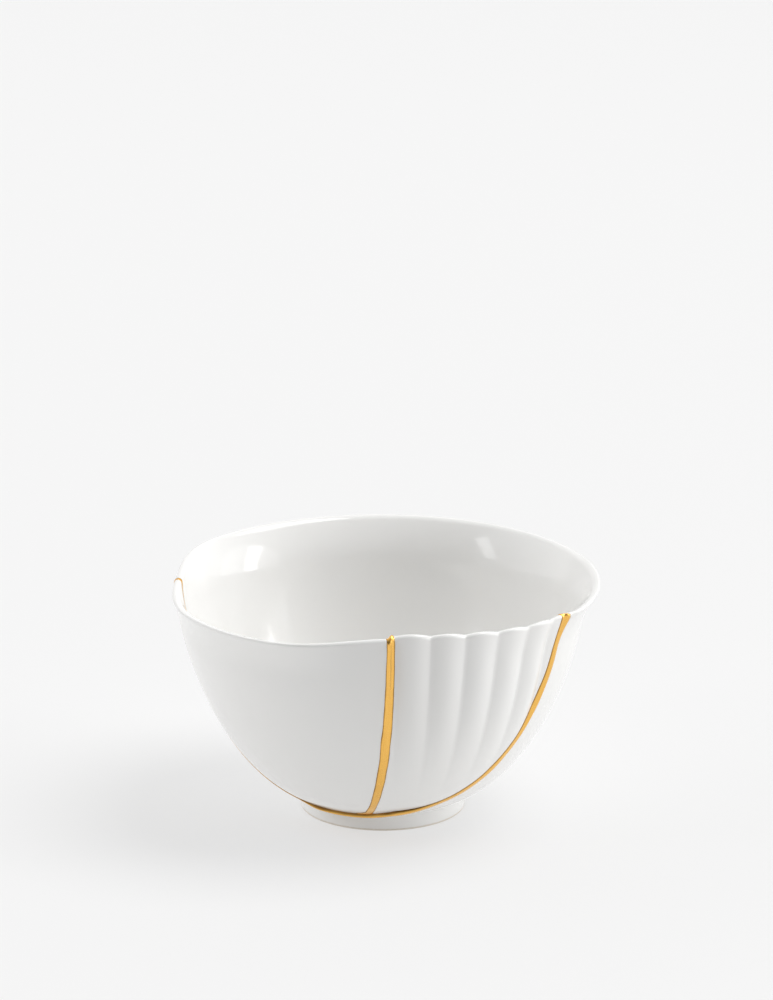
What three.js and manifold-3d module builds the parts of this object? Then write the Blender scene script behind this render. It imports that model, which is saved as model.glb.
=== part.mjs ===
// Kintsugi bowl: one shard from each of three porcelain bowls, joined with gold.
// Millimetres, +Z up, the front faces -Y. An azimuth is in degrees, from the front towards +X.

import * as THREE from 'three';
import { mergeVertices } from 'three/addons/utils/BufferGeometryUtils.js';
import Module from 'manifold-3d';

const { clamp, degToRad, lerp, radToDeg, smoothstep } = THREE.MathUtils;
const wasm = await Module();
wasm.setup();

// Driving dimensions.

const RIM_HEIGHT = 82.8; // top of the footed shard
const RIM_RADIUS = 71.65; // outside of the wall at the rim, before a lip turns out
const WALL_AT_RIM = 2.6;
const WALL_AT_FOOT = 3.8;

const FOOT_HEIGHT = 6; // where the wall leaves the foot ring
const FOOT_RADIUS = 28.8;
const FOOT_WIDTH = 4; // of the ring that the bowl stands on
const FOOT_EDGE = 0.7; // bevel of the ring's outer edge
const RECESS_DEPTH = 3.6; // under the base, inside the ring
const FLOOR_HEIGHT = 8.1; // inside of the bowl, at its middle
const FLOOR_RADIUS = 20.5; // of the flat floor, before it bends up into the wall

const WALL_START = { radius: 29.2, angle: 21, reach: 29.5 }; // the wall's curve, from the foot
const WALL_END = { angle: 88.8, reach: 21.5 }; // and to the rim
const LEAN = 1; // how far the rim stands off the foot's centre, towards -X

// The turned-out lips. Each one grows and dies away between two azimuths.
const LIP_HEIGHT = 14; // they start this far below the rim
const LIP_FOOTED = { out: 5.8, grows: [48, 66], dies: [230, 266] };
const LIP_PLAIN = { out: 5.2, grows: [-94, -60], dies: [-30, 0] };
const LIP_FLUTED = { out: 2.9, grows: [0, 60], dies: [90, 120] };

// The rims aren't level.
const RIM_DIP = 1.1; // of the plain shard, halfway along it
const CLIMB_PLAIN = { up: 1.7, azimuths: [-25, 5] }; // to the front break
const CLIMB_FLUTED = { up: 3.6, azimuths: [65, -10] }; // from the right break to the front one

const FLUTE_PITCH = 10; // degrees
const FIRST_GROOVE = 4.4; // azimuth of a groove between two flutes
const FLUTE_DEPTH = 1.3;
const SCALLOP_HEIGHT = 1.1; // of the rim, between the flutes
const FLUTE_FADE = [38, 76]; // heights where the flutes start and are full

const GOLD_WIDTH = 3.2; // on the outside of the wall
const GOLD_WIDTH_INSIDE = 1.4;
const GOLD_PROUD = 0.3;
const GAP = 0.3; // between gold and porcelain
const CURTAIN_OUTSIDE = 0.8; // how far a break's cutting curtain stands out of the wall
const CURTAIN_INSIDE = 2;
const FRONT_BREAK_REACH = 28; // azimuths, to either side of the front, that hold the front break

// The breaks are straight, seen from above: each has a facing azimuth and a distance from the axis.
const BREAK_LEFT = { azimuth: -27, distance: 31 };
const BREAK_RIGHT = { azimuth: 0, distance: 36.5 };
const BREAK_FRONT = { azimuth: -76.8, distance: 12.7 };

// Facets.

const WALL_STEPS = 10;
const RIM_STEPS = 3;
const FLOOR_STEPS = 3;
const FLUTE_STEPS = 6;
const BREAK_STEPS = 14;

// The wall's section: radius in x and height in y.

const RIM_ROUND = WALL_AT_RIM / 2;

function direction(angle) {
  return new THREE.Vector2(Math.cos(degToRad(angle)), Math.sin(degToRad(angle)));
}

const wallFoot = new THREE.Vector2(WALL_START.radius, FOOT_HEIGHT);
const wallRim = new THREE.Vector2(RIM_RADIUS, RIM_HEIGHT - RIM_ROUND);
const wallCurve = new THREE.CubicBezierCurve(
  wallFoot,
  wallFoot.clone().addScaledVector(direction(WALL_START.angle), WALL_START.reach),
  wallRim.clone().addScaledVector(direction(WALL_END.angle), -WALL_END.reach),
  wallRim,
);

function thicknessAt(t) {
  return lerp(WALL_AT_FOOT, WALL_AT_RIM, t);
}

// A point of the section, stood off from the wall's outside.
function wallPoint(t, standOff) {
  const along = wallCurve.getTangent(t);
  const outwards = new THREE.Vector2(along.y, -along.x);
  return wallCurve.getPoint(t).addScaledVector(outwards, standOff);
}

function steps(count) {
  return Array.from({ length: count + 1 }, (_, i) => i / count);
}

function footPoints() {
  const bore = FOOT_RADIUS - FOOT_WIDTH;
  return [
    new THREE.Vector2(0, RECESS_DEPTH),
    new THREE.Vector2(bore - RECESS_DEPTH / 2, RECESS_DEPTH),
    new THREE.Vector2(bore, RECESS_DEPTH / 2),
    new THREE.Vector2(bore + FOOT_EDGE, 0),
    new THREE.Vector2(FOOT_RADIUS - FOOT_EDGE, 0),
    new THREE.Vector2(FOOT_RADIUS, FOOT_EDGE),
  ];
}

function rimPoints(outside, inside) {
  const middle = outside.clone().lerp(inside, 0.5);
  const across = outside.clone().sub(middle);
  return steps(RIM_STEPS + 1).slice(1, -1).map((t) => middle.clone().add(
    across.clone().rotateAround(new THREE.Vector2(), Math.PI * t),
  ));
}

function floorPoints(edge) {
  const flat = new THREE.Vector2(FLOOR_RADIUS, FLOOR_HEIGHT);
  const bend = new THREE.Vector2((FLOOR_RADIUS + edge.x) / 2, FLOOR_HEIGHT);
  const curve = new THREE.QuadraticBezierCurve(edge, bend, flat);
  return [...curve.getPoints(FLOOR_STEPS).slice(1), new THREE.Vector2(0, FLOOR_HEIGHT)];
}

function section(proud) {
  const outside = steps(WALL_STEPS).map((t) => wallPoint(t, proud));
  const inside = steps(WALL_STEPS).map((t) => wallPoint(t, -thicknessAt(t) - proud)).reverse();
  const rim = rimPoints(outside.at(-1), inside[0]);
  return [...footPoints(), ...outside, ...rim, ...inside, ...floorPoints(inside.at(-1))];
}

// The bowls. Each one shapes the turned wall by azimuth and height: out from the axis, and up.

function wrap(azimuth, lowest) {
  return THREE.MathUtils.euclideanModulo(azimuth - lowest, 360) + lowest;
}

function lipAt(azimuth, z, { out, grows, dies }) {
  const reach = clamp((z - RIM_HEIGHT + LIP_HEIGHT) / LIP_HEIGHT, 0, 1.1) ** 2;
  return out * reach * smoothstep(azimuth, ...grows) * (1 - smoothstep(azimuth, ...dies));
}

function climbAt(azimuth, z, { up, azimuths: [low, high] }) {
  const share = clamp((azimuth - low) / (high - low), 0, 1);
  return up * smoothstep(share, 0, 1) * riseAt(z);
}

function riseAt(z) {
  return smoothstep(z, RIM_HEIGHT / 2, RIM_HEIGHT);
}

function footedBowl(azimuth, z) {
  return { out: lipAt(wrap(azimuth, 0), z, LIP_FOOTED), up: 0 };
}

function plainBowl(azimuth, z) {
  const a = wrap(azimuth, -180);
  const dip = RIM_DIP * Math.sin(degToRad(clamp(2 * a, -180, 0))) ** 2 * riseAt(z);
  return { out: lipAt(a, z, LIP_PLAIN), up: climbAt(a, z, CLIMB_PLAIN) - dip };
}

function flutedBowl(azimuth, z) {
  const a = wrap(azimuth, -180);
  const groove = 1 - Math.abs(Math.sin(Math.PI * (a - FIRST_GROOVE) / FLUTE_PITCH));
  const flute = FLUTE_DEPTH * groove * smoothstep(z, ...FLUTE_FADE);
  const scallop = SCALLOP_HEIGHT * groove * smoothstep(z, RIM_HEIGHT - LIP_HEIGHT, RIM_HEIGHT);
  return { out: lipAt(a, z, LIP_FLUTED) - flute, up: climbAt(a, z, CLIMB_FLUTED) - scallop };
}

// Gold stands halfway between the two bowls that it joins.
function goldBowl(azimuth, z) {
  const a = wrap(azimuth, -180);
  const [left, right] = Math.abs(a) > FRONT_BREAK_REACH
    ? [footedBowl(a, z), a < 0 ? plainBowl(a, z) : flutedBowl(a, z)]
    : [plainBowl(a, z), flutedBowl(a, z)];
  return { out: (left.out + right.out) / 2, up: (left.up + right.up) / 2 };
}

function leanAt(z) {
  return LEAN * z / RIM_HEIGHT;
}

function shaped(geometry, shape) {
  const point = new THREE.Vector3();
  const position = geometry.attributes.position;
  for (let i = 0; i < position.count; i += 1) {
    point.fromBufferAttribute(position, i);
    const radius = Math.hypot(point.x, point.y);
    const { out, up } = shape(radToDeg(Math.atan2(point.x, -point.y)), point.z);
    const scale = radius > 0 ? (radius + out) / radius : 1;
    position.setXYZ(i, point.x * scale - leanAt(point.z), point.y * scale, point.z + up);
  }
  return geometry;
}

function solid(geometry) {
  geometry.deleteAttribute('normal');
  geometry.deleteAttribute('uv');
  const merged = mergeVertices(geometry, 1e-3);
  const triangles = [];
  for (let i = 0; i < merged.index.count; i += 3) {
    const [a, b, c] = [0, 1, 2].map((k) => merged.index.getX(i + k));
    if (a !== b && b !== c && c !== a) triangles.push(a, b, c);
  }
  return new wasm.Manifold(new wasm.Mesh({
    numProp: 3,
    vertProperties: merged.attributes.position.array,
    triVerts: new Uint32Array(triangles),
  }));
}

function turned(shape, { segments = 72, start = 0, proud = 0 } = {}) {
  const lathe = new THREE.LatheGeometry(section(proud), segments, degToRad(start));
  return solid(shaped(lathe.rotateX(Math.PI / 2), shape));
}

// The breaks: a curtain stands on each one, square to the wall and wider outside than inside.

function rimLength(line) {
  return Math.sqrt(RIM_RADIUS ** 2 - line.distance ** 2);
}

// How far along one break another one crosses it.
function crossing(line, other) {
  const turn = degToRad(other.azimuth - line.azimuth);
  return (other.distance - line.distance * Math.cos(turn)) / Math.sin(turn);
}

// Samples of a break between two lengths, closer together up the steep wall.
function samples(line, from, to) {
  const length = rimLength(line);
  const facing = degToRad(line.azimuth);
  const [first, last] = [from, to].map((along) => Math.asin(clamp(along / length, -1, 1)));
  return steps(BREAK_STEPS).map((step) => {
    const along = length * Math.sin(lerp(first, last, step));
    const radius = Math.hypot(line.distance, along);
    return { radius, azimuth: facing + Math.atan2(along, line.distance), facing, lift: 0 };
  });
}

function aboveRim(sample) {
  return { ...sample, lift: LIP_HEIGHT };
}

function wallAtRadius(radius) {
  let [low, high] = [0, 1];
  for (let i = 0; i < 30; i += 1) {
    const middle = (low + high) / 2;
    if (wallCurve.getPoint(middle).x < radius) low = middle;
    else high = middle;
  }
  return high;
}

function curtain(path, gap) {
  const box = new THREE.BoxGeometry(1, 1, 1, path.length - 1, 1, 1);
  const position = box.attributes.position;
  for (let i = 0; i < position.count; i += 1) {
    const along = Math.round((position.getX(i) + 0.5) * (path.length - 1));
    const { radius, azimuth, facing, lift } = path[along];
    const t = wallAtRadius(radius);
    const thickness = thicknessAt(t);
    const standOff = position.getZ(i) > 0 ? CURTAIN_OUTSIDE : -thickness - CURTAIN_INSIDE;
    const taper = (GOLD_WIDTH - GOLD_WIDTH_INSIDE) / thickness;
    const side = position.getY(i) * (GOLD_WIDTH + taper * standOff + 2 * gap);
    const at = wallPoint(t, standOff);
    const { out, up } = goldBowl(radToDeg(azimuth), wallPoint(t, 0).y);
    const x = (at.x + out) * Math.sin(azimuth) + side * Math.sin(facing) - leanAt(at.y);
    const y = -(at.x + out) * Math.cos(azimuth) - side * Math.cos(facing);
    position.setXYZ(i, x, y, at.y + up + lift);
  }
  return solid(box);
}

function breaks(gap) {
  const left = samples(BREAK_LEFT, -rimLength(BREAK_LEFT), crossing(BREAK_LEFT, BREAK_RIGHT));
  const right = samples(BREAK_RIGHT, crossing(BREAK_RIGHT, BREAK_LEFT), rimLength(BREAK_RIGHT));
  const front = samples(BREAK_FRONT, crossing(BREAK_FRONT, BREAK_LEFT), rimLength(BREAK_FRONT));
  const corner = { ...right[0], facing: (left[0].facing + right[0].facing) / 2 };
  const across = [
    aboveRim(left[0]), ...left.slice(0, -1), corner, ...right.slice(1), aboveRim(right.at(-1)),
  ];
  return curtain(across, gap).add(curtain([...front, aboveRim(front.at(-1))], gap));
}

// Every bowl breaks into the same three shards, the footed one largest and the fluted one smallest.
function shard(bowl, rank) {
  const pieces = bowl.subtract(breaks(GAP)).decompose();
  return pieces.sort((a, b) => b.volume() - a.volume())[rank];
}

// Porcelain and gold.

function part(name, body, material) {
  const { vertProperties, triVerts } = body.getMesh();
  const geometry = new THREE.BufferGeometry();
  geometry.setAttribute('position', new THREE.BufferAttribute(vertProperties, 3));
  geometry.setIndex(new THREE.BufferAttribute(triVerts, 1));
  const mesh = new THREE.Mesh(geometry, new THREE.MeshStandardMaterial(material));
  mesh.name = name;
  return mesh;
}

const porcelain = { color: '#f3f1ec', roughness: 0.12, metalness: 0 };
const gold = { color: '#e2a93f', roughness: 0.22, metalness: 1 };
const fluteSegments = 360 / FLUTE_PITCH * FLUTE_STEPS;

const kintsugiBowl = new THREE.Group();
kintsugiBowl.add(
  part('footed_shard', shard(turned(footedBowl), 0), porcelain),
  part('plain_shard', shard(turned(plainBowl), 1), porcelain),
  part(
    'fluted_shard',
    shard(turned(flutedBowl, { segments: fluteSegments, start: FIRST_GROOVE }), 2),
    porcelain,
  ),
  part('gold_seams', turned(goldBowl, { proud: GOLD_PROUD }).intersect(breaks(0)), gold),
);

// The bowl stands over the origin by the middle of its outline.
const middle = new THREE.Box3().setFromObject(kintsugiBowl).getCenter(new THREE.Vector3());
kintsugiBowl.position.set(-middle.x, -middle.y, 0);
kintsugiBowl.updateMatrixWorld(true);

export default kintsugiBowl;
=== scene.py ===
# The looks of the kintsugi bowl: three glazed porcelain shards, and the gold that joins them.
# Shapes are worked out in millimetres about the foot's centre, and each finished piece is laid
# into the frame, which is in metres. An azimuth is in degrees, from the front towards +X.

import math

import bmesh
import bpy
import numpy as np
from mathutils import Euler, Matrix, Vector, noise


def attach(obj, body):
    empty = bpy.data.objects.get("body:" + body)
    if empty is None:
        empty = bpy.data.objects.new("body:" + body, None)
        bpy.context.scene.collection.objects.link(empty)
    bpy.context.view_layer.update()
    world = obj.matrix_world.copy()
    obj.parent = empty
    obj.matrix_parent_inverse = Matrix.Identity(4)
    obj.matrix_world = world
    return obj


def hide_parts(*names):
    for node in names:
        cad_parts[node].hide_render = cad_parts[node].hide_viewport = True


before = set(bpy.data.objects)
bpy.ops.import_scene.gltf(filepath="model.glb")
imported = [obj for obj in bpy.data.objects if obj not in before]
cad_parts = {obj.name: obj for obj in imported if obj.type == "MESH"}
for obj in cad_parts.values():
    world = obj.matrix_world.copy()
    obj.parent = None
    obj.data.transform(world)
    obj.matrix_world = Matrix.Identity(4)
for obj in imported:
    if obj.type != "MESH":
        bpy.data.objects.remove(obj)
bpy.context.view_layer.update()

MM = 0.001

# The bowl's driving dimensions, as the solids have them but for the flutes' fade.

RIM_HEIGHT = 82.8
RIM_RADIUS = 71.65
WALL_AT_RIM = 2.6
WALL_AT_FOOT = 3.8
RIM_ROUND = WALL_AT_RIM / 2

FOOT_HEIGHT = 6
FOOT_RADIUS = 28.8
FOOT_WIDTH = 4
FOOT_EDGE = 0.7
RECESS_DEPTH = 3.6
FLOOR_HEIGHT = 8.1
FLOOR_RADIUS = 20.5

WALL_START = {"radius": 29.2, "angle": 21, "reach": 29.5}
WALL_END = {"angle": 88.8, "reach": 21.5}
LEAN = 1

LIP_HEIGHT = 14
LIP_FOOTED = {"out": 5.8, "grows": (48, 66), "dies": (230, 266)}
LIP_PLAIN = {"out": 5.2, "grows": (-94, -60), "dies": (-30, 0)}
LIP_FLUTED = {"out": 2.9, "grows": (0, 60), "dies": (90, 120)}

RIM_DIP = 1.1
CLIMB_PLAIN = {"up": 1.7, "from": -25, "to": 5}
CLIMB_FLUTED = {"up": 3.6, "from": 65, "to": -10}

FLUTE_PITCH = 10
FIRST_GROOVE = 4.4
FLUTE_DEPTH = 1.3
SCALLOP_HEIGHT = 1.1
FLUTE_FADE = (14, 70)  # lower than on the solids

# The gold lies over the joins as a domed strap, and a thin keel of it runs through the wall.

CUT = 0.25  # from the middle of a join to the porcelain on either side
KEEL = 0.22  # half of the keel's width
GOLD_PROUD = 0.3
GOLD_OVER_RIM = 0.15
GOLD_FLUSH = 0.06  # how proud the gold is inside the bowl
GOLD_SUNK = 0.1  # how deep the strap's underside beds into the glaze
GOLD_INSIDE = 0.7  # the strap's width inside the bowl
GOLD_WAVER = 0.25
GOLD_WAVE = 9  # how far it is between one swell of the line and the next
KEEL_DEPTH = 1.15
BLEND = 0.6  # to either side of a join's middle, the gold goes over from one bowl's wall to the other's
CORNER_ROUND = 3

# The straps' widths outside, by the share of the way from the foot to the rim.
WIDTH_LEFT = ((0, 2.2), (0.25, 1), (0.6, 1.2), (1, 2.4))
WIDTH_RIGHT = ((0, 2.4), (0.5, 2.5), (1, 3))
WIDTH_FRONT = ((0, 2.5), (0.6, 3.5), (1, 2.9))

# Under the bowl's front, the low seam's gold is heaped up into the neck over the foot ring.
HEAP = {"proud": 1, "grows": (-30, -21), "dies": (4, 22)}  # along x

# The front seam's foot spreads out over the low seam.
T_REACH = 6
T_SPREAD_LEFT = 2.6
T_SPREAD_RIGHT = 1

# How fine the meshes are.

WALL_ROWS = 96
RIM_ROWS = 12
STRAP_STEP = 0.8


# Colours, in linear light.

GLAZE_COOL = (0.875, 0.875, 0.865)
GLAZE_WARM = (0.89, 0.882, 0.862)
BISCUIT_DARK = (0.62, 0.56, 0.48)
BISCUIT_LIGHT = (0.78, 0.73, 0.65)
RIPPLE = 0.00002
BISCUIT_GRAIN = 0.00005
GOLD_BRIGHT = (1.0, 0.62, 0.17)
GOLD_DEEP = (0.86, 0.45, 0.09)
# The brown of the gold's edges is painted shade, for the dark reflections on the sides of the bead.
GOLD_EDGE_PAINTED_SHADE = (0.28, 0.14, 0.035)
PAPER = (0.3, 0.3, 0.3)
GLOW = 0.56  # the floor is lit from below as well
STUDIO_WHITE = (1, 1, 1)

# The stage.

FLOOR_REACH = 6
STUDIO_BACK = 0.72
STUDIO_FRONT = 0.15
STUDIO_SIDES = 0.3
BACK_FADE = (-0.7, 0.3)
SIDES_FADE = (0.5, 0.95)

# Each light's azimuth and elevation from the bowl, in degrees.
KEY = {"azimuth": 98, "elevation": 64, "width": 38, "strength": 1.5}
FILL = {"azimuth": -95, "elevation": 14, "width": 70, "strength": 0.55}
LOW = {"azimuth": 85, "elevation": 12, "width": 45, "strength": 0.5}
WINDOW = {"azimuth": 85, "elevation": 19, "away": 1.2, "size": (0.19, 0.72), "strength": 2}
WINDOW_LEFT = {"azimuth": -71, "elevation": 32, "away": 1.2, "size": (0.16, 0.5), "strength": 2 / 3}
BACKLIGHT = {"azimuth": 180, "elevation": 38, "away": 1.5, "size": (2.6, 0.5), "strength": 2}

LENS = 238.6
SENSOR = 36
CAMERA_PLACE = (1.27, -2200, 796.3)
CAMERA_DOWN = 17.28


def smoothstep(value, low, high):
    share = min(max((value - low) / (high - low), 0), 1)
    return share * share * (3 - 2 * share)


def lerp(a, b, share):
    return a + (b - a) * share


# The section that the bowls are turned from: radius and height.


def direction(angle):
    return Vector((math.cos(math.radians(angle)), math.sin(math.radians(angle))))


WALL_KNOTS = [
    Vector((WALL_START["radius"], FOOT_HEIGHT)),
    Vector((WALL_START["radius"], FOOT_HEIGHT)) + direction(WALL_START["angle"]) * WALL_START["reach"],
    Vector((RIM_RADIUS, RIM_HEIGHT - RIM_ROUND)) - direction(WALL_END["angle"]) * WALL_END["reach"],
    Vector((RIM_RADIUS, RIM_HEIGHT - RIM_ROUND)),
]


def bezier(knots, t):
    """A point of a curve of any degree, by halving between its knots."""
    while len(knots) > 1:
        knots = [a.lerp(b, t) for a, b in zip(knots, knots[1:])]
    return knots[0]


def wall_point(t, stand_off):
    slopes = [b - a for a, b in zip(WALL_KNOTS, WALL_KNOTS[1:])]
    along = bezier(slopes, t).normalized()
    return bezier(WALL_KNOTS, t) + Vector((along.y, -along.x)) * stand_off


def steps(count):
    return [i / count for i in range(count + 1)]


def outside_points():
    return [wall_point(t, 0) for t in steps(WALL_ROWS)]


def inside_points():
    shares = reversed(steps(WALL_ROWS))
    return [wall_point(t, -lerp(WALL_AT_FOOT, WALL_AT_RIM, t)) for t in shares]


def rim_points(outside, inside):
    """The half round over the top of the wall, without its ends."""
    middle = (outside + inside) / 2
    across = outside - middle
    return [
        middle + Matrix.Rotation(math.pi * t, 2) @ across
        for t in steps(RIM_ROWS)[1:-1]
    ]


def wall_points():
    """The wall from the foot, over the rim and down the inside."""
    outside = outside_points()
    inside = inside_points()
    return outside + rim_points(outside[-1], inside[0]) + inside


def curve_points(knots, count):
    return [bezier([Vector(knot) for knot in knots], t) for t in steps(count)]


def foot_points():
    """The recess under the base and the foot ring, from the axis out to the wall."""
    bore = FOOT_RADIUS - FOOT_WIDTH
    recess = RECESS_DEPTH
    cove = curve_points([(bore - recess, recess), (bore - 0.2, recess), (bore, 1)], 8)
    inner_edge = curve_points([(bore, FOOT_EDGE), (bore, 0), (bore + FOOT_EDGE, 0)], 4)
    outer_edge = curve_points(
        [(FOOT_RADIUS - FOOT_EDGE, 0), (FOOT_RADIUS, 0), (FOOT_RADIUS, FOOT_EDGE)], 4
    )
    neck = curve_points(
        [(FOOT_RADIUS, FOOT_HEIGHT - 1.6), (FOOT_RADIUS, FOOT_HEIGHT), WALL_KNOTS[0]], 6
    )
    return [Vector((0, recess)), *cove, *inner_edge, *outer_edge, *neck[:-1]]


def floor_points():
    """The inside from the wall's end to the axis."""
    edge = wall_point(0, -WALL_AT_FOOT)
    bend = ((FLOOR_RADIUS + edge.x) / 2, FLOOR_HEIGHT)
    curve = curve_points([edge, bend, (FLOOR_RADIUS, FLOOR_HEIGHT)], 10)
    return [*curve[1:], Vector((FLOOR_RADIUS / 2, FLOOR_HEIGHT)), Vector((0, FLOOR_HEIGHT))]


# The three bowls: how far each one's wall stands out from the turned wall, and up.


def wrapped(azimuth, lowest):
    return (azimuth - lowest) % 360 + lowest


def lip_at(azimuth, z, lip):
    reach = min(max((z - RIM_HEIGHT + LIP_HEIGHT) / LIP_HEIGHT, 0), 1.1) ** 2
    share = smoothstep(azimuth, *lip["grows"]) * (1 - smoothstep(azimuth, *lip["dies"]))
    return lip["out"] * reach * share


def climb_at(azimuth, z, climb):
    return climb["up"] * smoothstep(azimuth, climb["from"], climb["to"]) * rise_at(z)


def rise_at(z):
    return smoothstep(z, RIM_HEIGHT / 2, RIM_HEIGHT)


def footed_bowl(azimuth, z):
    return lip_at(wrapped(azimuth, 0), z, LIP_FOOTED), 0


def plain_bowl(azimuth, z):
    a = wrapped(azimuth, -180)
    dip = RIM_DIP * math.sin(math.radians(min(max(2 * a, -180), 0))) ** 2 * rise_at(z)
    return lip_at(a, z, LIP_PLAIN), climb_at(a, z, CLIMB_PLAIN) - dip


def fluted_bowl(azimuth, z):
    a = wrapped(azimuth, -180)
    groove = 1 - abs(math.sin(math.pi * (a - FIRST_GROOVE) / FLUTE_PITCH))
    flute = FLUTE_DEPTH * groove * smoothstep(z, *FLUTE_FADE)
    scallop = SCALLOP_HEIGHT * groove * smoothstep(z, RIM_HEIGHT - LIP_HEIGHT, RIM_HEIGHT)
    return lip_at(a, z, LIP_FLUTED) - flute, climb_at(a, z, CLIMB_FLUTED) - scallop


def place(azimuth, radius, z, shape):
    """Where a point of the turned wall comes to lie in a bowl of that shape."""
    out, up = shape(azimuth, z)
    turn = math.radians(azimuth)
    lean = LEAN * z / RIM_HEIGHT
    return Vector(((radius + out) * math.sin(turn) - lean, -(radius + out) * math.cos(turn), z + up))


# Pieces.


def foot_centre():
    """The middle of the ring that the footed shard stands on."""
    low = [v.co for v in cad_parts["footed_shard"].data.vertices if v.co.z < FOOT_EDGE * MM / 2]
    xs = [co.x for co in low]
    ys = [co.y for co in low]
    return Vector(((min(xs) + max(xs)) / 2, (min(ys) + max(ys)) / 2, 0))


INTO_FRAME = Matrix.Translation(foot_centre()) @ Matrix.Scale(MM, 4)


def finished(bm, name, node, material):
    """Lays a mesh into the frame as the piece that stands for a solid."""
    bmesh.ops.remove_doubles(bm, verts=bm.verts, dist=1e-3)
    bmesh.ops.recalc_face_normals(bm, faces=bm.faces)
    for face in bm.faces:
        face.smooth = True
    for edge in bm.edges:
        edge.smooth = edge.calc_face_angle(0) < math.radians(60)
    bmesh.ops.transform(bm, matrix=INTO_FRAME, verts=bm.verts)
    mesh = bpy.data.meshes.new(name)
    bm.to_mesh(mesh)
    bm.free()
    mesh.materials.append(material)
    piece = bpy.data.objects.new(name, mesh)
    bpy.context.scene.collection.objects.link(piece)
    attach(piece, "root")
    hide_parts(node)
    return piece


# The breaks are straight, seen from above: a facing azimuth, and a distance from the axis.


class Break:
    def __init__(self, azimuth, distance):
        self.azimuth = azimuth
        self.distance = distance
        turn = math.radians(azimuth)
        self.normal = Vector((math.sin(turn), -math.cos(turn), 0))

    def crossing(self, other):
        """How far along this break the other one crosses it."""
        turn = math.radians(other.azimuth - self.azimuth)
        return (other.distance - self.distance * math.cos(turn)) / math.sin(turn)

    def azimuth_at(self, along):
        return self.azimuth + math.degrees(math.atan2(along, self.distance))


LEFT = Break(-27, 31)
RIGHT = Break(0, 36.5)
FRONT = Break(-76.8, 12.7)

# The left and the right break meet at a corner, and this plane through it halves the fluted shard.
CORNER = RIGHT.azimuth_at(RIGHT.crossing(LEFT))
HALVING = Break(CORNER + 90, 0)


def cut(bm, line, beyond, filled=True):
    """Cuts a mesh along a break and keeps the side beyond it, or the side behind it."""
    side = 1 if beyond else -1
    gap = CUT if filled else 0
    made = bmesh.ops.bisect_plane(
        bm,
        geom=[*bm.verts, *bm.edges, *bm.faces],
        dist=1e-5,
        plane_co=line.normal * (line.distance + side * gap),
        plane_no=line.normal * side,
        clear_inner=True,
    )
    if filled:
        edges = [e for e in made["geom_cut"] if isinstance(e, bmesh.types.BMEdge)]
        bmesh.ops.triangle_fill(bm, edges=edges, use_beauty=True)


def turned(points, start, end, count):
    bm = bmesh.new()
    turn = math.radians(start)
    verts = [bm.verts.new((r * math.sin(turn), -r * math.cos(turn), z)) for r, z in points]
    edges = [bm.edges.new(pair) for pair in zip(verts, verts[1:])]
    bmesh.ops.spin(
        bm,
        geom=verts + edges,
        axis=(0, 0, 1),
        angle=math.radians(end - start),
        steps=count,
        use_merge=end - start == 360,
    )
    bmesh.ops.remove_doubles(bm, verts=bm.verts, dist=1e-4)
    return bm


def shaped(bm, shape):
    for v in bm.verts:
        azimuth = math.degrees(math.atan2(v.co.x, -v.co.y))
        v.co = place(azimuth, math.hypot(v.co.x, v.co.y), v.co.z, shape)


def footed_shard(material):
    bm = turned([*foot_points(), *wall_points(), *floor_points()], 0, 360, 320)
    cut(bm, LEFT, beyond=False)
    cut(bm, RIGHT, beyond=False)
    shaped(bm, footed_bowl)
    return finished(bm, "shard_with_foot", "footed_shard", material)


def plain_shard(material):
    bm = turned(wall_points(), -104, 16, 120)
    cut(bm, LEFT, beyond=True)
    cut(bm, FRONT, beyond=True)
    shaped(bm, plain_bowl)
    return finished(bm, "shard_plain", "plain_shard", material)


def fluted_shard(material):
    """Made as two halves that share the plane through the corner, because the corner is hollow."""
    first_flute = FIRST_GROOVE - 2 * FLUTE_PITCH
    flutes = 9
    bm = bmesh.new()
    for lines, keeps in (([LEFT, FRONT], False), ([RIGHT], True)):
        half = turned(wall_points(), first_flute, first_flute + flutes * FLUTE_PITCH, flutes * 14)
        for line in lines:
            cut(half, line, beyond=line is not FRONT)
        cut(half, HALVING, beyond=keeps, filled=False)
        mesh = bpy.data.meshes.new("half")
        half.to_mesh(mesh)
        half.free()
        bm.from_mesh(mesh)
        bpy.data.meshes.remove(mesh)
    bmesh.ops.remove_doubles(bm, verts=bm.verts, dist=1e-3)
    shaped(bm, fluted_bowl)
    return finished(bm, "shard_fluted", "fluted_shard", material)


# The gold straps. A station is a place on the turned wall's skin: the azimuth, the length along
# the section from the foot, and the way across the join.

SKIN = np.array([tuple(point) for point in wall_points()])
SKIN_LENGTHS = np.concatenate([[0], np.cumsum(np.hypot(*np.diff(SKIN, axis=0).T))])
RIM_START = SKIN_LENGTHS[WALL_ROWS]
RIM_END = SKIN_LENGTHS[WALL_ROWS + RIM_ROWS]


def skin_at(length):
    """Radius, height and the unit tangent of the section at a length along it."""
    here = [np.interp(length, SKIN_LENGTHS, SKIN[:, k]) for k in (0, 1)]
    back, forth = (
        Vector([np.interp(length + step, SKIN_LENGTHS, SKIN[:, k]) for k in (0, 1)])
        for step in (-0.05, 0.05)
    )
    return (*here, (forth - back).normalized())


def length_at(radius, inside):
    """The section's length where the wall has that radius."""
    if inside:
        rows = slice(None, WALL_ROWS + RIM_ROWS - 1, -1)
    else:
        rows = slice(0, WALL_ROWS + 1)
    return float(np.interp(radius, SKIN[rows, 0], SKIN_LENGTHS[rows]))


def rim_reach(line, inside=False):
    """How far along a break the rim is."""
    return math.sqrt(skin_at(RIM_END if inside else RIM_START)[0] ** 2 - line.distance ** 2)


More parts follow.
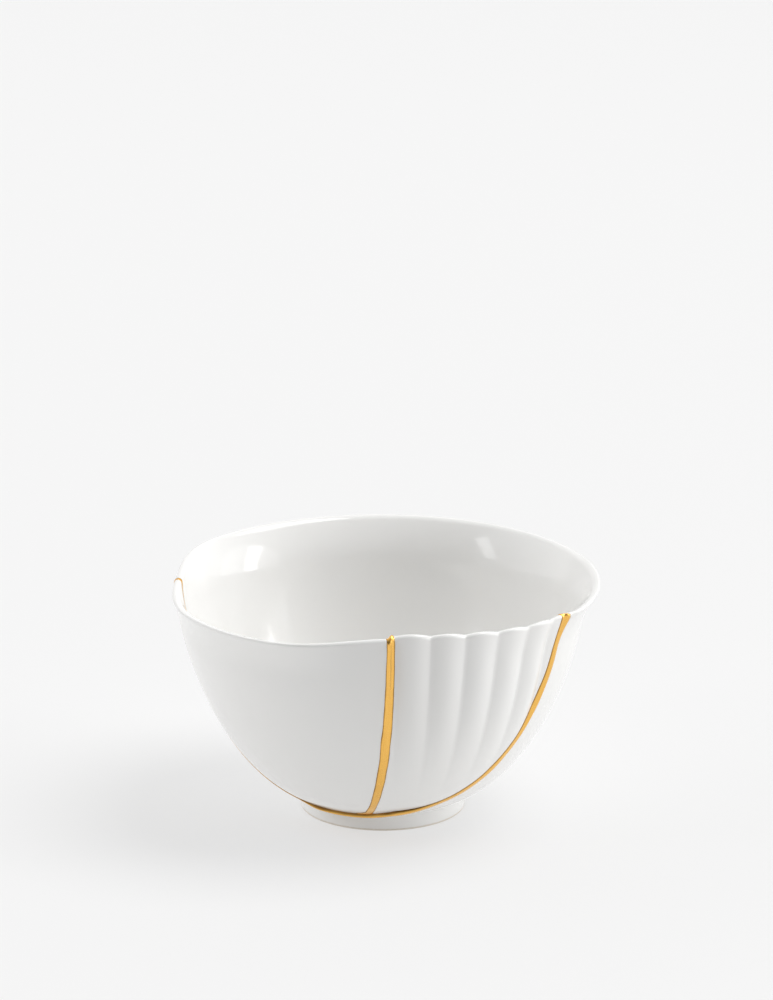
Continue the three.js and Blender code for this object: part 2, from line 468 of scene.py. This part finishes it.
def run(line, start, end, inside=False):
    """Stations on the wall along a break, closer together up the steep wall."""
    reach = rim_reach(line, inside)
    first, last = (math.asin(min(max(along / reach, -1), 1)) for along in (start, end))
    stations = []
    for share in steps(240):
        along = reach * math.sin(lerp(first, last, share))
        length = length_at(math.hypot(line.distance, along), inside)
        stations.append((line.azimuth_at(along), length, line.azimuth))
    return stations


def over_rim(line, side):
    stations = []
    for share in steps(RIM_ROWS)[1:-1]:
        length = lerp(RIM_START, RIM_END, share)
        along = side * math.sqrt(skin_at(length)[0] ** 2 - line.distance ** 2)
        stations.append((line.azimuth_at(along), length, line.azimuth))
    return stations


def turned_point(azimuth, length):
    radius, z, _ = skin_at(length)
    turn = math.radians(azimuth)
    return Vector((radius * math.sin(turn), -radius * math.cos(turn), z))


def evenly(stations):
    """The same way in steps of one length, with its corners rounded off."""
    points = [turned_point(*station[:2]) for station in stations]
    lengths = np.concatenate([[0], np.cumsum([(b - a).length for a, b in zip(points, points[1:])])])
    count = round(lengths[-1] / STRAP_STEP)
    wanted = np.linspace(0, lengths[-1], count + 1)
    columns = [np.interp(wanted, lengths, column) for column in np.array(stations).T]
    return np.array(columns).T


def rounded(stations, reach):
    """Takes the corners off a closed way by averaging each station with its neighbours."""
    window = round(reach / STRAP_STEP)
    ring = stations[:-1]
    mean = sum(np.roll(ring, k, axis=0) for k in range(-window, window + 1)) / (2 * window + 1)
    return np.concatenate([mean, mean[:1]])


# The strap's outline: the share of its half width, and the share of its height.
DOME = [
    (share, math.sqrt(1 - share ** 4))
    for share in (-1, -0.97, -0.9, -0.78, -0.6, -0.4, -0.2, 0, 0.2, 0.4, 0.6, 0.78, 0.9, 0.97, 1)
]
UNDERSIDE = [(KEEL, -GOLD_SUNK), (KEEL, -KEEL_DEPTH), (-KEEL, -KEEL_DEPTH), (-KEEL, -GOLD_SUNK)]


def proud_at(length):
    """How proud a strap is: less over the rim than outside, and nearly flush inside."""
    lengths = [RIM_START - 1, RIM_START + 1, RIM_END, RIM_END + 3]
    heights = [GOLD_PROUD, GOLD_OVER_RIM, GOLD_OVER_RIM, GOLD_FLUSH]
    return float(np.interp(length, lengths, heights))


def heap_at(azimuth, length):
    """How much prouder the low seam is in the neck over the foot ring."""
    if length > RIM_START:
        return 0
    x = turned_point(azimuth, length).x
    return HEAP["proud"] * smoothstep(x, *HEAP["grows"]) * (1 - smoothstep(x, *HEAP["dies"]))


def strap_ring(station, widths, bowls):
    """One section of a strap: a closed ring of points, each with its share of the half width."""
    azimuth, length, facing = station
    proud = proud_at(length)
    on_low_seam = bowls[0] is footed_bowl
    if on_low_seam:
        proud += heap_at(azimuth, length)
    along = skin_at(length)[2]
    sideways = Vector((math.cos(math.radians(azimuth)), math.sin(math.radians(azimuth)), 0))
    outwards = Vector((sideways.y, -sideways.x, 0))
    across = Vector((math.sin(math.radians(facing)), -math.cos(math.radians(facing)), 0))
    steer = Vector((across.dot(sideways), across.dot(outwards) * along.x))
    steer /= steer.length_squared

    def laid(offset, height):
        """A point that far across the join, as seen from above, and that high over the glaze."""
        radius, z, tangent = skin_at(length + steer.y * offset)
        radius += tangent.y * height
        z -= tangent.x * height
        here = azimuth + math.degrees(steer.x * offset / radius)
        behind, beyond = (place(here, radius, z, bowl) for bowl in bowls)
        return behind.lerp(beyond, smoothstep(offset, -BLEND, BLEND))

    top = [
        (laid(share * widths[share > 0], lerp(-GOLD_SUNK, proud, height)), share)
        for share, height in DOME
    ]
    return top + [(laid(offset, height), 0) for offset, height in UNDERSIDE]


def strap(bm, stations, widths_at, bowls):
    """Sweeps a strap along stations and closes it round, and end to end where the way is closed."""
    rings = [
        strap_ring(station, widths_at(station, i * STRAP_STEP), bowls)
        for i, station in enumerate(stations)
    ]
    around = len(rings[0])
    count = len(rings) - 1
    across = bm.verts.layers.float["across"]
    along = bm.verts.layers.float["along"]
    for v in bmesh.ops.create_grid(bm, x_segments=around, y_segments=count, size=0.5)["verts"]:
        row = round((v.co.y + 0.5) * count)
        v.co, v[across] = rings[row][round((v.co.x + 0.5) * around) % around]
        v[along] = row * STRAP_STEP
    bmesh.ops.remove_doubles(bm, verts=bm.verts, dist=1e-4)
    bmesh.ops.holes_fill(bm, edges=[e for e in bm.edges if e.is_boundary])


def wavering(width, place_along, seed):
    """A brushed line is never quite one width."""
    return width / 2 + GOLD_WAVER * noise.noise(Vector((place_along / GOLD_WAVE, seed, 0)))


def width_on(outside_widths, length):
    """A seam's width by the length along the section: outside, over the rim, and inside."""
    lengths = [share * RIM_START for share, _ in outside_widths] + [RIM_END, RIM_END + 6]
    widths = [width for _, width in outside_widths]
    return float(np.interp(length, lengths, widths + [widths[-1], GOLD_INSIDE]))


def low_seam_widths(station, gone):
    azimuth, length, _ = station
    width = width_on(WIDTH_LEFT if azimuth < CORNER else WIDTH_RIGHT, length)
    return wavering(width, gone, 1), wavering(width, gone, 2)


def front_seam_widths(station, gone):
    """The front seam spreads where it runs out onto the low one."""
    width = width_on(WIDTH_FRONT, station[1])
    spread = (1 - smoothstep(gone, 0, T_REACH)) ** 2
    right = wavering(width, gone, 3) + T_SPREAD_RIGHT * spread
    left = wavering(width, gone, 4) + T_SPREAD_LEFT * spread
    return right, left


def gold_seams(material):
    corner = LEFT.crossing(RIGHT)
    there = run(LEFT, -rim_reach(LEFT), corner) + run(RIGHT, RIGHT.crossing(LEFT), rim_reach(RIGHT))
    back = run(RIGHT, rim_reach(RIGHT, True), RIGHT.crossing(LEFT), True)
    back += run(LEFT, corner, -rim_reach(LEFT, True), True)
    low = there + over_rim(RIGHT, 1) + back + over_rim(LEFT, -1)[::-1] + there[:1]
    foot = FRONT.crossing(LEFT)
    front = run(FRONT, foot, rim_reach(FRONT)) + over_rim(FRONT, 1)
    front += run(FRONT, rim_reach(FRONT, True), foot, True)
    bm = bmesh.new()
    bm.verts.layers.float.new("across")
    bm.verts.layers.float.new("along")
    strap(bm, rounded(evenly(low), CORNER_ROUND), low_seam_widths, (footed_bowl, low_beyond))
    strap(bm, evenly(front), front_seam_widths, (fluted_bowl, plain_bowl))
    return finished(bm, "gold_lines", "gold_seams", material)


def low_beyond(azimuth, z):
    """The bowl in front of the low seam."""
    return plain_bowl(azimuth, z) if azimuth < CORNER else fluted_bowl(azimuth, z)


# Materials.


class Value:
    """A number that a material works out. Sums of values add their Math nodes to the material."""

    def __init__(self, recipe, socket):
        self.recipe = recipe
        self.socket = socket

    def __add__(self, other):
        return self.recipe.maths("ADD", self, other)

    __radd__ = __add__

    def __sub__(self, other):
        return self.recipe.maths("SUBTRACT", self, other)

    def __rsub__(self, other):
        return self.recipe.maths("SUBTRACT", other, self)

    def __mul__(self, other):
        return self.recipe.maths("MULTIPLY", self, other)

    __rmul__ = __mul__

    def __truediv__(self, other):
        return self.recipe.maths("DIVIDE", self, other)

    def __abs__(self):
        return self.recipe.maths("ABSOLUTE", self)


class Recipe:
    """A material, or the world, and the nodes that are put into it."""

    def __init__(self, owner):
        owner.use_nodes = True
        self.tree = owner.node_tree
        self.tree.nodes.clear()

    def node(self, kind, settings=None, inputs=None, output=0):
        node = self.tree.nodes.new(kind)
        for name, setting in (settings or {}).items():
            setattr(node, name, setting)
        for name, given in (inputs or {}).items():
            if isinstance(given, Value):
                self.tree.links.new(given.socket, node.inputs[name])
            else:
                node.inputs[name].default_value = given
        return Value(self, node.outputs[output]) if node.outputs else node

    def maths(self, operation, *values):
        return self.node("ShaderNodeMath", {"operation": operation}, dict(enumerate(values)))

    def fade(self, value, low, high):
        """0 below low, 1 above high, and smooth between them."""
        settings = {"interpolation_type": "SMOOTHSTEP"}
        return self.node("ShaderNodeMapRange", settings, {0: value, 1: low, 2: high})

    def mixed(self, factor, one, other):
        return self.node("ShaderNodeMix", {"data_type": "RGBA"}, {0: factor, 6: one, 7: other}, 2)

    def mottle(self, coordinates, scale, detail=2.0, roughness=0.5):
        inputs = {"Vector": coordinates, "Scale": scale, "Detail": detail, "Roughness": roughness}
        return self.node("ShaderNodeTexNoise", inputs=inputs)

    def surface(self, **inputs):
        given = {name.replace("_", " "): value for name, value in inputs.items()}
        shader = self.node("ShaderNodeBsdfPrincipled", inputs=given)
        self.node("ShaderNodeOutputMaterial", inputs={"Surface": shader})

    def relief(self, height, depth):
        return self.node("ShaderNodeBump", inputs={"Height": height, "Distance": depth, "Strength": 1.0})


def glazed_porcelain():
    """Warm white porcelain under a clear gloss glaze, bare on the ring that it was fired on."""
    material = bpy.data.materials.new("glazed_porcelain")
    recipe = Recipe(material)
    coordinates = recipe.node("ShaderNodeTexCoord", output=3)
    height = recipe.node("ShaderNodeSeparateXYZ", inputs={0: coordinates}, output=2)
    bare = 1 - recipe.fade(height + 0.0003 * recipe.mottle(coordinates, 900), 0.0007, 0.0012)
    cloud = recipe.mottle(coordinates, 28, 3)
    glaze = recipe.mixed(cloud, (*GLAZE_COOL, 1), (*GLAZE_WARM, 1))
    grain = recipe.mottle(coordinates, 4000, 4, 0.7)
    biscuit = recipe.mixed(grain, (*BISCUIT_DARK, 1), (*BISCUIT_LIGHT, 1))
    ripple = recipe.mottle(coordinates, 75, 1) * RIPPLE + grain * bare * BISCUIT_GRAIN
    recipe.surface(
        Base_Color=recipe.mixed(bare, glaze, biscuit),
        Roughness=lerp(0.07, 0.11, recipe.mottle(coordinates, 60)) + bare * 0.6,
        Specular_IOR_Level=0.5,
        IOR=1.5,
        Normal=recipe.relief(ripple, 1.0),
    )
    return material


def polished_gold():
    """Gold lustre in streaks along the line, with painted shade: a brown band along its edges stands in
    for the dark reflections on the bead's sides.
    """
    material = bpy.data.materials.new("polished_gold")
    recipe = Recipe(material)
    coordinates = recipe.node("ShaderNodeTexCoord", output=3)
    across = recipe.node("ShaderNodeAttribute", {"attribute_name": "across"}, output=2)
    along = recipe.node("ShaderNodeAttribute", {"attribute_name": "along"}, output=2)
    streaks_at = recipe.node("ShaderNodeCombineXYZ", inputs={0: across * 6, 1: along / 14})
    streaks = recipe.mottle(streaks_at, 1.0, 3)
    blotches = recipe.mottle(coordinates, 160, 3)
    # Painted shade: a brown band along the strap's edges, in place of the dark reflections on the bead's
    # sides.
    edge = recipe.fade(abs(across) + (blotches - 0.5) * 0.25, 0.62, 1.02)
    crown = recipe.mixed(streaks, (*GOLD_DEEP, 1), (*GOLD_BRIGHT, 1))
    recipe.surface(
        Base_Color=recipe.mixed(edge, crown, (*GOLD_EDGE_PAINTED_SHADE, 1)),
        Metallic=1.0,
        Roughness=0.16 + 0.2 * blotches + 0.15 * edge,
        Normal=recipe.relief(streaks * 0.00003 + blotches * 0.00004, 1.0),
    )
    return material


# The stage: a pale glowing floor, soft light from the right, the left and behind, and the camera.


def pale_floor():
    bm = bmesh.new()
    bmesh.ops.create_grid(bm, x_segments=1, y_segments=1, size=FLOOR_REACH)
    mesh = bpy.data.meshes.new("floor")
    bm.to_mesh(mesh)
    bm.free()
    material = bpy.data.materials.new("pale_paper")
    Recipe(material).surface(
        Base_Color=(*PAPER, 1),
        Roughness=0.9,
        Specular_IOR_Level=0.1,
        Emission_Color=(*STUDIO_WHITE, 1),
        Emission_Strength=GLOW,
    )
    mesh.materials.append(material)
    floor = bpy.data.objects.new("floor", mesh)
    bpy.context.scene.collection.objects.link(floor)


def soft_surroundings():
    """A bright studio, brightest at the sides and darker where the bowl's front looks."""
    world = bpy.data.worlds.new("studio")
    bpy.context.scene.world = world
    recipe = Recipe(world)
    way = recipe.node("ShaderNodeTexCoord", output=0)
    to_back = recipe.node("ShaderNodeSeparateXYZ", inputs={0: way}, output=1)
    to_side = recipe.node("ShaderNodeSeparateXYZ", inputs={0: way}, output=0)
    behind = recipe.fade(to_back, *BACK_FADE)
    beside = recipe.fade(abs(to_side), *SIDES_FADE)
    strength = lerp(STUDIO_FRONT, STUDIO_BACK, behind) + STUDIO_SIDES * beside
    inputs = {"Color": (*STUDIO_WHITE, 1), "Strength": strength}
    shader = recipe.node("ShaderNodeBackground", inputs=inputs)
    recipe.node("ShaderNodeOutputWorld", inputs={"Surface": shader})


def add_light(name, kind, strength, turn, **settings):
    light = bpy.data.lights.new(name, kind)
    light.energy = strength
    for setting, value in settings.items():
        setattr(light, setting, value)
    lamp = bpy.data.objects.new(name, light)
    lamp.rotation_euler = turn
    bpy.context.scene.collection.objects.link(lamp)
    return lamp


def softbox(name, azimuth, elevation, away, size, strength):
    """A rectangle of light that faces the bowl, which is that far away."""
    turn = Euler((math.radians(90 - elevation), 0, math.radians(azimuth)))
    lamp = add_light(name, "AREA", strength, turn, shape="RECTANGLE", size=size[0], size_y=size[1])
    middle = foot_centre() + Vector((0, 0, RIM_HEIGHT / 2 * MM))
    lamp.location = middle + turn.to_matrix() @ Vector((0, 0, away))
    return lamp


def sunlight(name, azimuth, elevation, width, strength):
    """Light from far off, from an azimuth and a height over the floor, as wide as a softbox."""
    turn = Euler((math.radians(90 - elevation), 0, math.radians(azimuth)))
    return add_light(name, "SUN", strength, turn, angle=math.radians(width))


def camera():
    data = bpy.data.cameras.new("camera")
    data.lens = LENS
    data.sensor_width = SENSOR
    data.clip_end = 50
    viewer = bpy.data.objects.new("camera", data)
    viewer.location = foot_centre() + Vector(CAMERA_PLACE) * MM
    viewer.rotation_euler = Euler((math.radians(90 - CAMERA_DOWN), 0, 0))
    bpy.context.scene.collection.objects.link(viewer)
    bpy.context.scene.camera = viewer


camera()
bpy.context.scene.view_settings.view_transform = "Standard"
pale_floor()
soft_surroundings()
sunlight("key", **KEY)
sunlight("fill", **FILL)
sunlight("low", **LOW)
softbox("window", **WINDOW)
softbox("window_left", **WINDOW_LEFT)
softbox("back", **BACKLIGHT)

porcelain = glazed_porcelain()
footed_shard(porcelain)
plain_shard(porcelain)
fluted_shard(porcelain)
gold_seams(polished_gold())
